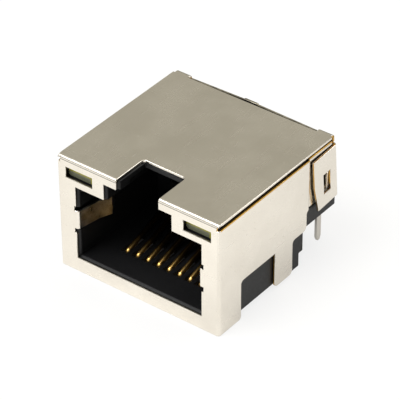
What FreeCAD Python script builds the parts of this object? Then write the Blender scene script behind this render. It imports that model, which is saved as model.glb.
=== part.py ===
import FreeCAD, Part
import math
import os
import Sketcher

# Shielded eight-way modular jack for a board cut-out, latch side up, with two indicator windows.
# X runs to the right seen from the plug side, Y to the back, Z up.
# The sketches measure Y from the front face and Z from the bottom of the front frame.
# Each finished piece is then placed so that the origin is the middle of the board seat.

doc = FreeCAD.newDocument("BoardJack")
sheet = doc.addObject("Spreadsheet::Sheet", "Sizes")
Vector = FreeCAD.Vector


class Size:
    """A length or an angle, with the sheet formula that gives it."""

    def __init__(self, formula, value):
        self.formula = formula
        self.value = value

    def __add__(self, other):
        other = sized(other)
        return Size(f"({self.formula} + {other.formula})", self.value + other.value)

    def __sub__(self, other):
        other = sized(other)
        return Size(f"({self.formula} - {other.formula})", self.value - other.value)

    def __mul__(self, other):
        other = sized(other)
        return Size(f"({self.formula} * {other.formula})", self.value * other.value)

    def __truediv__(self, other):
        other = sized(other)
        return Size(f"({self.formula} / {other.formula})", self.value / other.value)

    def __radd__(self, other):
        return sized(other) + self

    def __rsub__(self, other):
        return sized(other) - self

    def __rmul__(self, other):
        return sized(other) * self

    def __neg__(self):
        return Size(f"(0 - {self.formula})", -self.value)


def sized(number):
    if isinstance(number, Size):
        return number
    return Size(repr(float(number)), float(number))


def sine(angle):
    return Size(f"sin({angle.formula})", math.sin(math.radians(angle.value)))


def cosine(angle):
    return Size(f"cos({angle.formula})", math.cos(math.radians(angle.value)))


def tangent(angle):
    return Size(f"tan({angle.formula})", math.tan(math.radians(angle.value)))


sheet_row = 0


def size(alias, value, note):
    """Write one driving dimension into the sheet."""
    global sheet_row
    sheet_row += 1
    sheet.set(f"A{sheet_row}", note)
    sheet.set(f"B{sheet_row}", str(value))
    sheet.setAlias(f"B{sheet_row}", alias)
    return Size(f"Sizes.{alias}", float(value))


# Plug opening in the front frame, with the latch step and the latch slot
port_width = size("port_width", 12.0, "width of the plug opening")
port_bottom = size("port_bottom", 1.24, "sill of the plug opening")
port_height = size("port_height", 6.69, "sill to shoulder of the plug opening")
side_column = size("side_column", 1.65, "frame beside the plug opening")
step_width = size("step_width", 6.44, "width of the latch step")
step_drop = size("step_drop", 0.95, "top face down to the latch step")
slot_width = size("slot_width", 4.0, "width of the latch slot")
slot_depth = size("slot_depth", 3.37, "depth of the latch slot in the top")

# Lamp windows above the shoulders
lamp_web = size("lamp_web", 0.57, "frame between shoulder and lamp window")
lamp_height = size("lamp_height", 0.96, "height of a lamp window")
lamp_width = size("lamp_width", 2.58, "width of a lamp window")
lamp_edge = size("lamp_edge", 0.75, "frame outside a lamp window")
lamp_roof = size("lamp_roof", 0.87, "lamp window up to the top face")

# Shell, one folded sheet
sheet_gauge = size("sheet_gauge", 0.2, "thickness of the folded sheet")
bend_inside = size("bend_inside", 0.05, "inside radius of the front bends")
seam_gap = size("seam_gap", 0.36, "open seam between top and side walls")
corner_relief = size("corner_relief", 0.12, "cut back of the top at the front corners")
seat_height = size("seat_height", 3.4, "frame bottom to the board's top surface")
plate_gap = size("plate_gap", 0.15, "housing to the upper end of the back plate")
strap_bend = size("strap_bend", 0.35, "outside radius of the rear bend")
strap_inner = size("strap_inner", 6.18, "centre to the inner edge of a rear strap")
strap_edge = size("strap_edge", 0.15, "rear strap in from the side")
strap_tail = size("strap_tail", 0.4, "straight end of a rear strap inside the back plate")
strap_step = size("strap_step", 0.19, "rear edge of the top ahead of the rear bend")
nib_width = size("nib_width", 1.3, "width of the break-off nib")
nib_offset = size("nib_offset", 0.3, "nib centre, left of the middle")
nib_height = size("nib_height", 0.2, "reach of the nib above the back plate")
strip_depth = size("strip_depth", 2.8, "depth of the front strip of a side wall")
leg_front = size("leg_front", 7.1, "front edge of a solder leg")
leg_width = size("leg_width", 2.3, "width of a solder leg")
leg_rise = size("leg_rise", 0.3, "leg end above the frame bottom")
board_clearance = size("board_clearance", 0.16, "front notch above the board")
tail_overlap = size("tail_overlap", 0.1, "lower side wall behind the sunk body")
wall_over_block = size("wall_over_block", 0.15, "gap between seat block and side wall")
small_round = size("small_round", 0.3, "corner radius of the side notches")
large_round = size("large_round", 0.4, "corner radius of legs and tails")
joggle_gap = size("joggle_gap", 0.22, "lower side wall to the joggle")
joggle_run = size("joggle_run", 0.22, "length of the joggle")
joggle_depth = size("joggle_depth", 0.2, "inward step of the joggle")
side_margin = size("side_margin", 0.3, "side wall short of the housing's rear face")

# Back plate and its flaps, drawn upright and then leant back
back_lean = size("back_lean", 4.0, "lean of the back plate in degrees")
back_drop = size("back_drop", 0.45, "upper edge of the back plate below the top face")
plate_clearance = size("plate_clearance", 0.3, "back plate above the seat ledge")
flap_flare = size("flap_flare", 0.17, "outward flare of a flap at its lower edge")
flap_stand = size("flap_stand", 0.12, "outward flare of a flap at its upper edge")
flap_depth = size("flap_depth", 2.7, "front edge of a flap to the rear bend")
flap_drop = size("flap_drop", 0.85, "upper edge of a flap below the top face")
flap_sweep = size("flap_sweep", 0.34, "sweep back of the flap's lower front corner")
flap_sweep_height = size("flap_sweep_height", 2.38, "height of the flap's swept front edge")
back_bend = size("back_bend", 0.3, "outside radius of the flap bends")
window_inset = size("window_inset", 1.15, "front edge of a flap to its window")
window_width = size("window_width", 0.9, "width of the flap window")
window_rise = size("window_rise", 1.15, "lower edge of a flap up to its window")
window_height = size("window_height", 1.85, "height of the flap window")
barb_inset = size("barb_inset", 0.45, "front edge of the window to the barb")
barb_length = size("barb_length", 0.55, "length of the lanced barb")
barb_rise = size("barb_rise", 0.25, "lower edge of the window up to the barb")
barb_height = size("barb_height", 1.4, "height of the barb")
barb_lift = size("barb_lift", 0.33, "reach of the barb out of the side wall")

# Ground fingers, folded in from the plug opening
finger_bottom = size("finger_bottom", 4.02, "lower edge of a finger")
finger_height = size("finger_height", 1.66, "height of a finger")
finger_slope = size("finger_slope", 9.0, "angle of the first run in degrees")
finger_crest_slope = size("finger_crest_slope", 22.0, "angle of the second run in degrees")
finger_return = size("finger_return", 35.0, "angle of the return in degrees")
finger_run = size("finger_run", 1.9, "length of the first run")
finger_crest_run = size("finger_crest_run", 1.2, "length of the second run")
finger_return_run = size("finger_return_run", 0.9, "length of the return")
relief_height = size("relief_height", 0.42, "height of the relief beside a finger")
relief_depth = size("relief_depth", 0.18, "depth of the relief beside a finger")

# Housing, moulded
housing_gap = size("housing_gap", 0.05, "gap between housing and shell")
frame_gap = size("frame_gap", 0.02, "gap between housing and front frame")
housing_bottom = size("housing_bottom", 0.48, "frame bottom to housing bottom")
rear_wall = size("rear_wall", 1.2, "housing behind the cavity, in the board cut-out")
rear_depth = size("rear_depth", 3.4, "depth of the rear block over the board")
foot_bottom = size("foot_bottom", 0.2, "frame bottom to the rear feet")
foot_setback = size("foot_setback", 0.5, "rear foot ahead of the sunk body's rear face")
foot_depth = size("foot_depth", 1.0, "depth of a rear foot")
foot_width = size("foot_width", 1.5, "width of a rear foot")
foot_step = size("foot_step", 1.4, "top of the rear foot's set-back")
ledge_depth = size("ledge_depth", 0.83, "reach of the seat ledge behind the housing")
ledge_height = size("ledge_height", 0.9, "height of the seat ledge")
seat_block_height = size("seat_block_height", 1.6, "height of the full width seat block")
port_wall = size("port_wall", 0.12, "housing edge inside the frame's opening")
cavity_depth = size("cavity_depth", 9.9, "front face to the cavity's rear wall")
mouth_chamfer = size("mouth_chamfer", 0.18, "chamfer of the housing's mouth")
front_chamfer = size("front_chamfer", 0.15, "chamfer of the housing behind the front bends")
latch_wall = size("latch_wall", 1.5, "front wall that holds the latch")
latch_roof = size("latch_roof", 0.46, "housing above the latch room")
slot_margin = size("slot_margin", 0.15, "housing inside the shell's latch slot")
finger_room = size("finger_room", 0.42, "depth of the recess behind a finger")
finger_room_length = size("finger_room_length", 4.4, "rear end of the recess behind a finger")
finger_room_margin = size("finger_room_margin", 0.2, "recess above and below a finger")
comb_depth = size("comb_depth", 0.6, "depth of the comb on the rear wall")
comb_top = size("comb_top", 4.0, "top of the comb")
comb_margin = size("comb_margin", 0.6, "comb beyond the outer contacts")
wire_slot = size("wire_slot", 0.6, "width of a contact slot")
slot_lead = size("slot_lead", 0.27, "contact slots ahead of the contact bends")
slot_length = size("slot_length", 2.45, "length of a contact slot in the cavity's floor")

# Contacts, bent from round wire
contact_pitch = size("contact_pitch", 1.016, "spacing of the contacts")
wire_diameter = size("wire_diameter", 0.45, "diameter of the contact wire")
wire_flat = size("wire_flat", 0.42, "side of the wire where it is coined square")
tip_front = size("tip_front", 2.94, "front of the contact bends")
lower_rise = size("lower_rise", 0.25, "housing bottom to the wire's lower run")
tip_radius = size("tip_radius", 0.25, "centre-line radius of the front bend")
contact_slope = size("contact_slope", 16.0, "rise of the spring in degrees")
spring_gap = size("spring_gap", 0.28, "free end of the spring to the cavity's rear wall")
riser_inset = size("riser_inset", 0.78, "cavity's rear wall to the wire's riser")
bridge_rise = size("bridge_rise", 0.55, "board surface to the wire's bridge")
wire_bend_inside = size("wire_bend_inside", 0.125, "inside radius of the other bends")
row_inset = size("row_inset", 1.29, "sunk body to the front row of pins")
row_spacing = size("row_spacing", 2.54, "spacing of the two rows of pins")
pin_length = size("pin_length", 2.9, "pin length below the board surface")

# Contact carrier, moulded
carrier_margin = size("carrier_margin", 0.38, "carrier beyond the outer contacts")
carrier_height = size("carrier_height", 2.6, "height of the carrier")
carrier_gap = size("carrier_gap", 0.05, "gap round the carrier")
carrier_slot_gap = size("carrier_slot_gap", 0.04, "gap beside a wire in the carrier")

# Lamps
lens_recess = size("lens_recess", 0.48, "lamp face behind the front face")
lens_margin = size("lens_margin", 0.08, "lamp beyond its window on each side")
lens_length = size("lens_length", 5.0, "length of the lamp body")
lens_round = size("lens_round", 0.28, "corner radius of the lamp body")
lens_gap = size("lens_gap", 0.07, "gap round the lamp body")
lead_spacing = size("lead_spacing", 2.54, "spacing of a lamp's two leads")
lead_thickness = size("lead_thickness", 0.25, "thickness of a lamp lead")
lead_width = size("lead_width", 0.55, "width of a lamp lead")
lead_inset = size("lead_inset", 0.67, "lamp pins ahead of the housing's rear face")
lead_length = size("lead_length", 2.8, "lamp pin below the board surface")
lead_taper = size("lead_taper", 0.35, "length of the tapered pin end")
lead_gap = size("lead_gap", 0.08, "gap beside a lamp lead")
lead_round = size("lead_round", 0.3, "inner radius of the lead's bend")

doc.recompute()

# Widths and heights that follow
half_port = port_width / 2
half_width = half_port + side_column
port_shoulder = port_bottom + port_height
lamp_bottom = port_shoulder + lamp_web
lamp_inner = half_width - lamp_edge - lamp_width
shell_height = lamp_bottom + lamp_height + lamp_roof
step_top = shell_height - step_drop
outer_bend = sheet_gauge + bend_inside
side_top = shell_height - sheet_gauge - seam_gap
strap_outer = half_width - strap_edge
lower_run = housing_bottom + lower_rise

# Depths that follow, from the front face
sunk_end = cavity_depth + rear_wall
housing_rear = sunk_end + rear_depth
ledge_end = housing_rear + ledge_depth
strap_start = housing_rear + plate_gap + sheet_gauge - strap_bend
top_length = strap_start - strap_step
side_end = housing_rear - side_margin
tail_end = sunk_end + tail_overlap
joggle_start = tail_end + joggle_gap
flap_front = strap_start - flap_depth
window_front = flap_front + window_inset
barb_front = window_front + barb_inset
riser_back = cavity_depth + riser_inset
spring_end = cavity_depth - spring_gap
front_row = sunk_end + row_inset
lead_row = housing_rear - lead_inset

# Heights at the back
rear_wall_rise = seat_block_height + wall_over_block
flap_bottom = seat_height + ledge_height + plate_clearance
flap_top = shell_height - flap_drop
back_top = shell_height - back_drop
window_base = flap_bottom + window_rise
barb_base = window_base + barb_rise

half_step = step_width / 2
half_slot = slot_width / 2
past = sized(1.0)  # how far a cut, or the root of an added block, runs past its face
contact_count = 8
outer_place = contact_pitch * ((contact_count - 1) / 2)


class Arc:
    """An arc of a sketch outline: its end, its centre and its radius."""

    def __init__(self, end, centre, radius, clockwise=False):
        self.end = end
        self.centre = centre
        self.radius = radius
        self.clockwise = clockwise


def origin_plane(body, role):
    for feature in body.Origin.OriginFeatures:
        if feature.Role == role:
            return feature
    raise ValueError(role)


def arc_through(start, step):
    """The arc from one point to the next, about its centre."""
    cx, cy = (sized(c).value for c in step.centre)
    ex, ey = (sized(c).value for c in step.end)
    first = math.atan2(start[1] - cy, start[0] - cx)
    last = math.atan2(ey - cy, ex - cx)
    radius = sized(step.radius).value
    if step.clockwise:
        first, last = last, first
    circle = Part.Circle(Vector(cx, cy, 0), Vector(0, 0, 1), radius)
    return Part.ArcOfCircle(circle, first, last)


def pin_point(sketch, edge, end, point):
    """Tie a sketch point to its two formulas."""
    for kind, axis, coordinate in (("DistanceX", -2, point[0]), ("DistanceY", -1, point[1])):
        coordinate = sized(coordinate)
        if coordinate.formula == "0.0":
            sketch.addConstraint(Sketcher.Constraint("PointOnObject", edge, end, axis))
            continue
        tie = sketch.addConstraint(Sketcher.Constraint(kind, -1, 1, edge, end, coordinate.value))
        sketch.setExpression(f"Constraints[{tie}]", coordinate.formula)


def draw(body, name, role, offset, loops, closed=True):
    """A fully tied sketch of outlines made of straight lines and arcs."""
    sketch = body.newObject("Sketcher::SketchObject", name)
    sketch.AttachmentSupport = [(origin_plane(body, role), "")]
    sketch.MapMode = "FlatFace"
    side = -1 if role == "XZ_Plane" else 1
    height = sized(offset) * side
    sketch.AttachmentOffset = FreeCAD.Placement(Vector(0, 0, height.value), FreeCAD.Rotation())
    sketch.setExpression("AttachmentOffset.Base.z", height.formula)
    for loop in loops:
        points = [step.end if isinstance(step, Arc) else step for step in loop]
        count = len(loop)
        previous = None
        first_edge = None
        spans = range(count) if closed else range(1, count)
        for index in spans:
            start = points[index - 1]
            step = loop[index]
            flat = [sized(c).value for c in start]
            end = [sized(c).value for c in points[index]]
            entry, leave = 1, 2
            if isinstance(step, Arc):
                edge = sketch.addGeometry(arc_through(flat, step), False)
                if step.clockwise:
                    entry, leave = 2, 1
                tie = sketch.addConstraint(
                    Sketcher.Constraint("Radius", edge, sized(step.radius).value))
                sketch.setExpression(f"Constraints[{tie}]", sized(step.radius).formula)
            else:
                line = Part.LineSegment(Vector(flat[0], flat[1], 0), Vector(end[0], end[1], 0))
                edge = sketch.addGeometry(line, False)
            if previous is None:
                first_edge = (edge, entry)
                pin_point(sketch, edge, entry, start)
            else:
                sketch.addConstraint(
                    Sketcher.Constraint("Coincident", previous[0], previous[1], edge, entry))
            last = closed and index == spans[-1]
            if last:
                sketch.addConstraint(
                    Sketcher.Constraint("Coincident", edge, leave, first_edge[0], first_edge[1]))
            else:
                pin_point(sketch, edge, leave, points[index])
            previous = (edge, leave)
    return sketch


def block(body, name, role, near, far, *loops):
    """Add a prism between two planes."""
    sketch = draw(body, name + "_outline", role, near, loops)
    pad = body.newObject("PartDesign::Pad", name)
    pad.Profile = sketch
    pad.setExpression("Length", (sized(far) - near).formula)
    pad.Reversed = role == "XZ_Plane"
    sketch.Visibility = False
    doc.recompute()
    return pad


def pocket(body, name, role, near, far, *loops):
    """Cut a prism between two planes, and make sure that it removed something."""
    before = body.Shape.Volume
    sketch = draw(body, name + "_outline", role, near, loops)
    cut = body.newObject("PartDesign::Pocket", name)
    cut.Profile = sketch
    cut.setExpression("Length", (sized(far) - near).formula)
    cut.Reversed = role != "XZ_Plane"
    sketch.Visibility = False
    doc.recompute()
    if not body.Shape.Volume < before - 1e-6:
        raise ValueError(name + " removed nothing")
    return cut


def rectangle(left, bottom, right, top):
    return [(left, bottom), (right, bottom), (right, top), (left, top)]


def mirrored(loop):
    """The same outline on the other side of the centre plane."""
    turned = []
    points = [step.end if isinstance(step, Arc) else step for step in loop]
    for index in range(len(loop) - 1, -1, -1):
        following = loop[(index + 1) % len(loop)]
        point = (-sized(points[index][0]), points[index][1])
        if isinstance(following, Arc):
            centre = (-sized(following.centre[0]), following.centre[1])
            turned.append(Arc(point, centre, following.radius, following.clockwise))
        else:
            turned.append(point)
    return turned


def new_body(name):
    body = doc.addObject("PartDesign::Body", name)
    body.Label = name
    return body


def edges_where(shape, test):
    """Names of the edges whose two ends both pass a test."""
    names = []
    for number, edge in enumerate(shape.Edges, 1):
        ends = [vertex.Point for vertex in edge.Vertexes]
        if len(ends) == 2 and all(test(end) for end in ends) and test(edge.CenterOfMass):
            names.append(f"Edge{number}")
    return names


def chamfered(body, name, edges, width):
    """Chamfer some edges of the body as it stands."""
    base = body.Tip
    chamfer = body.newObject("PartDesign::Chamfer", name)
    chamfer.Base = (base, edges)
    chamfer.setExpression("Size", width.formula)
    body.Tip = chamfer
    doc.recompute()


# Front of the shell: front frame, both side walls and the top, folded from one sheet
def wall_outline():
    """Plan of the front frame with the two side walls and their joggles."""
    inner = half_width - sheet_gauge
    joggle_end = joggle_start + joggle_run
    right = [
        Arc((half_width, outer_bend), (half_width - outer_bend, outer_bend), outer_bend),
        (half_width, joggle_start),
        (half_width - joggle_depth, joggle_end),
        (half_width - joggle_depth, side_end),
        (inner - joggle_depth, side_end),
        (inner - joggle_depth, joggle_end),
        (inner, joggle_start),
        (inner, outer_bend),
        Arc((half_width - outer_bend, sheet_gauge), (half_width - outer_bend, outer_bend),
            bend_inside, clockwise=True),
    ]
    left = [
        (outer_bend - half_width, sheet_gauge),
        Arc((-inner, outer_bend), (outer_bend - half_width, outer_bend), bend_inside,
            clockwise=True),
        (-inner, joggle_start),
        (joggle_depth - inner, joggle_end),
        (joggle_depth - inner, side_end),
        (joggle_depth - half_width, side_end),
        (joggle_depth - half_width, joggle_end),
        (-half_width, joggle_start),
        (-half_width, outer_bend),
        Arc((outer_bend - half_width, 0), (outer_bend - half_width, outer_bend), outer_bend),
    ]
    return [(half_width - outer_bend, 0)] + right + left


def side_cut():
    """What is cut away below the side walls: two board notches and the raised rear."""
    rear_edge = seat_height + rear_wall_rise
    front_notch = seat_height + board_clearance
    leg_rear = leg_front + leg_width
    return [
        (strip_depth - small_round, -past),
        (strip_depth - small_round, 0),
        Arc((strip_depth, small_round), (strip_depth - small_round, small_round), small_round),
        (strip_depth, front_notch - small_round),
        Arc((strip_depth + small_round, front_notch),
            (strip_depth + small_round, front_notch - small_round), small_round, clockwise=True),
        (leg_front, front_notch),
        (leg_front, leg_rise + large_round),
        Arc((leg_front + large_round, leg_rise), (leg_front + large_round, leg_rise + large_round),
            large_round),
        (leg_rear - large_round, leg_rise),
        Arc((leg_rear, leg_rise + large_round), (leg_rear - large_round, leg_rise + large_round),
            large_round),
        (leg_rear, seat_height - small_round),
        Arc((leg_rear + small_round, seat_height),
            (leg_rear + small_round, seat_height - small_round), small_round, clockwise=True),
        (tail_end - large_round, seat_height),
        Arc((tail_end, seat_height + large_round), (tail_end - large_round, seat_height + large_round),
            large_round),
        (tail_end, rear_edge - small_round),
        Arc((tail_end + small_round, rear_edge), (tail_end + small_round, rear_edge - small_round),
            small_round, clockwise=True),
        (side_end + past, rear_edge),
        (side_end + past, -past),
    ]


def top_profile():
    """Section of the top and its front bend."""
    return [
        (0, side_top),
        (sheet_gauge, side_top),
        (sheet_gauge, shell_height - outer_bend),
        Arc((outer_bend, shell_height - sheet_gauge), (outer_bend, shell_height - outer_bend),
            bend_inside, clockwise=True),
        (top_length, shell_height - sheet_gauge),
        (top_length, shell_height),
        (outer_bend, shell_height),
        Arc((0, shell_height - outer_bend), (outer_bend, shell_height - outer_bend), outer_bend),
    ]


def strap_profile():
    """Section of a rear strap: flat, bent down and a short stretch of the back plate."""
    centre_height = shell_height - strap_bend
    inside = strap_bend - sheet_gauge
    across = cosine(back_lean)
    down = sine(back_lean)
    outer_end = (strap_start + strap_bend * across, centre_height + strap_bend * down)
    inner_end = (strap_start + inside * across, centre_height + inside * down)
    return [
        (top_length - past, shell_height - sheet_gauge),
        (strap_start, shell_height - sheet_gauge),
        Arc(inner_end, (strap_start, centre_height), inside, clockwise=True),
        (inner_end[0] + strap_tail * down, inner_end[1] - strap_tail * across),
        (outer_end[0] + strap_tail * down, outer_end[1] - strap_tail * across),
        outer_end,
        Arc((strap_start, shell_height), (strap_start, centre_height), strap_bend),
        (top_length - past, shell_height),
    ]


def port_outline():
    """The plug opening with its latch step and the slot that runs up through the bend."""
    return [
        (-half_port, port_bottom),
        (half_port, port_bottom),
        (half_port, port_shoulder),
        (half_step, port_shoulder),
        (half_step, step_top),
        (half_slot, step_top),
        (half_slot, shell_height + past),
        (-half_slot, shell_height + past),
        (-half_slot, step_top),
        (-half_step, step_top),
        (-half_step, port_shoulder),
        (-half_port, port_shoulder),
    ]


def finger_outline():
    """Plan of the right ground finger: bend, first run, crest run and return."""
    first = finger_slope
    second = finger_crest_slope
    third = finger_return
    centre = (half_port, outer_bend)
    outer = [(half_port - outer_bend * cosine(first), outer_bend - outer_bend * sine(first))]
    inner = [(half_port - bend_inside * cosine(first), outer_bend - bend_inside * sine(first))]
    outer.append((outer[0][0] - finger_run * sine(first), outer[0][1] + finger_run * cosine(first)))
    inner.append((inner[0][0] - finger_run * sine(first), inner[0][1] + finger_run * cosine(first)))
    crest = (outer[1][0] - finger_crest_run * sine(second),
             outer[1][1] + finger_crest_run * cosine(second))
    outer.append(crest)
    lean = (second - third) / 2
    mitre = sheet_gauge / cosine((second + third) / 2)
    inner.append((crest[0] + mitre * cosine(lean), crest[1] + mitre * sine(lean)))
    end = (crest[0] + finger_return_run * sine(third), crest[1] + finger_return_run * cosine(third))
    outer.append(end)
    inner.append((end[0] + sheet_gauge * cosine(third), end[1] - sheet_gauge * sine(third)))
    loop = [
        (half_port + relief_depth, sheet_gauge),
        (half_port + relief_depth, 0),
        (half_port, 0),
        Arc(outer[0], centre, outer_bend, clockwise=True),
        outer[1],
        outer[2],
        outer[3],
        inner[3],
        inner[2],
        inner[1],
        inner[0],
        Arc((half_port, sheet_gauge), centre, bend_inside),
    ]
    return loop


def barb_outline():
    """Plan of the right barb, a tongue lanced out of the side wall and bent outwards."""
    wall = half_width - joggle_depth
    rear = barb_front + barb_length
    return [
        (wall - sheet_gauge, rear),
        (wall - sheet_gauge + barb_lift, barb_front),
        (wall + barb_lift, barb_front),
        (wall, rear),
        (wall, rear + sheet_gauge),
        (wall - sheet_gauge, rear + sheet_gauge),
    ]


def make_shell_front():
    body = new_body("shell_front")
    block(body, "walls", "XY_Plane", 0, side_top, wall_outline())
    bend_half = half_width - corner_relief
    block(body, "top_bend", "YZ_Plane", -bend_half, bend_half, top_profile())
    block(body, "top_plate", "XY_Plane", shell_height - sheet_gauge, shell_height,
          rectangle(-half_width, outer_bend + sheet_gauge / 2, half_width, top_length))
    for side, inner, outer in (("right", strap_inner, strap_outer),
                               ("left", -strap_outer, -strap_inner)):
        block(body, "strap_" + side, "YZ_Plane", inner, outer, strap_profile())
    seam = rectangle(half_width - outer_bend, -past, half_width + past, outer_bend)
    pocket(body, "corner_seams", "XY_Plane", side_top, shell_height - sheet_gauge,
           seam, mirrored(seam))
    pocket(body, "side_notches", "YZ_Plane", -half_width - past, half_width + past, side_cut())
    pocket(body, "port", "XZ_Plane", -past, outer_bend, port_outline())
    rounding = small_round
    slot = [
        (-half_slot, -past),
        (half_slot, -past),
        (half_slot, slot_depth - rounding),
        Arc((half_slot - rounding, slot_depth), (half_slot - rounding, slot_depth - rounding), rounding),
        (rounding - half_slot, slot_depth),
        Arc((-half_slot, slot_depth - rounding), (rounding - half_slot, slot_depth - rounding), rounding),
    ]
    pocket(body, "latch_slot", "XY_Plane", step_top, shell_height + past, slot)
    lamp = rectangle(lamp_inner, lamp_bottom, lamp_inner + lamp_width, lamp_bottom + lamp_height)
    pocket(body, "lamp_windows", "XZ_Plane", -past, sheet_gauge + past, lamp, mirrored(lamp))
    finger_top = finger_bottom + finger_height
    reliefs = []
    for low, high in ((finger_bottom - relief_height, finger_bottom), (finger_top, finger_top + relief_height)):
        notch = rectangle(half_port - sheet_gauge, low, half_port + relief_depth, high)
        reliefs += [notch, mirrored(notch)]
    pocket(body, "finger_reliefs", "XZ_Plane", -past, sheet_gauge + past, *reliefs)
    finger = finger_outline()
    block(body, "fingers", "XY_Plane", finger_bottom, finger_top, finger, mirrored(finger))
    wall = half_width - joggle_depth
    barb_gap = rectangle(wall - sheet_gauge * 2, barb_front - sheet_gauge / 2,
                         wall + sheet_gauge, barb_front + barb_length)
    pocket(body, "barb_gaps", "XY_Plane", barb_base, barb_base + barb_height,
           barb_gap, mirrored(barb_gap))
    barb = barb_outline()
    block(body, "barbs", "XY_Plane", barb_base, barb_base + barb_height, barb, mirrored(barb))
    return body


def make_shell_back():
    """Back plate with its two flaps, drawn upright."""
    body = new_body("shell_back")
    rear = strap_start + strap_bend
    inner_face = rear - sheet_gauge
    inside = back_bend - sheet_gauge
    edge = half_width - back_bend
    plate = rectangle(-edge, inner_face, edge, rear)
    block(body, "plate", "XY_Plane", flap_bottom, shell_height - strap_bend, plate)
    between = strap_inner - relief_depth
    block(body, "plate_top", "XY_Plane", flap_top, back_top,
          rectangle(-between, inner_face, between, rear))
    nib_left = -nib_offset - nib_width / 2
    block(body, "nib", "XY_Plane", flap_top, back_top + nib_height,
          rectangle(nib_left, inner_face, nib_left + nib_width, rear))

    def flap_plan(half):
        """Plan of the right flap and its bend at one height."""
        return [
            (half - back_bend - past, inner_face),
            (half - back_bend - past, rear),
            (half - back_bend, rear),
            Arc((half, rear - back_bend), (half - back_bend, rear - back_bend), back_bend,
                clockwise=True),
            (half, flap_front),
            (half - sheet_gauge, flap_front),
            (half - sheet_gauge, rear - back_bend),
            Arc((half - back_bend, inner_face), (half - back_bend, rear - back_bend), inside),
        ]

    for side in ("right", "left"):
        plans = []
        for level, height, half in (("low", flap_bottom, half_width + flap_flare),
                                    ("high", flap_top, half_width + flap_stand)):
            plan = flap_plan(half)
            if side == "left":
                plan = mirrored(plan)
            plans.append(draw(body, f"flap_{side}_{level}", "XY_Plane", height, [plan]))
        flap = body.newObject("PartDesign::AdditiveLoft", "flap_" + side)
        flap.Profile = plans[0]
        flap.Sections = [plans[1]]
        flap.Ruled = True
        doc.recompute()
    sweep = [
        (flap_front - past, flap_bottom - past),
        (flap_front + flap_sweep, flap_bottom - past),
        (flap_front + flap_sweep, flap_bottom + small_round),
        (flap_front, flap_bottom + flap_sweep_height),
        (flap_front - past, flap_bottom + flap_sweep_height),
    ]
    reach = half_width + flap_flare + past
    pocket(body, "flap_fronts", "YZ_Plane", -reach, reach, sweep)
    window = rectangle(window_front, window_base, window_front + window_width,
                       window_base + window_height)
    pocket(body, "flap_windows", "YZ_Plane", -reach, reach, window)
    body.Placement = FreeCAD.Placement(
        Vector(0, 0, 0), FreeCAD.Rotation(Vector(1, 0, 0), back_lean.value))
    return body


def lean_back(body):
    """Turn the upright back plate about the rear bend."""
    pivot_y = strap_start
    pivot_z = shell_height - strap_bend
    body.setExpression("Placement.Rotation.Angle", back_lean.formula)
    body.setExpression(
        "Placement.Base.y",
        (pivot_y - pivot_y * cosine(back_lean) + pivot_z * sine(back_lean)).formula)
    body.setExpression(
        "Placement.Base.z",
        (pivot_z - pivot_y * sine(back_lean) - pivot_z * cosine(back_lean)).formula)


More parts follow.
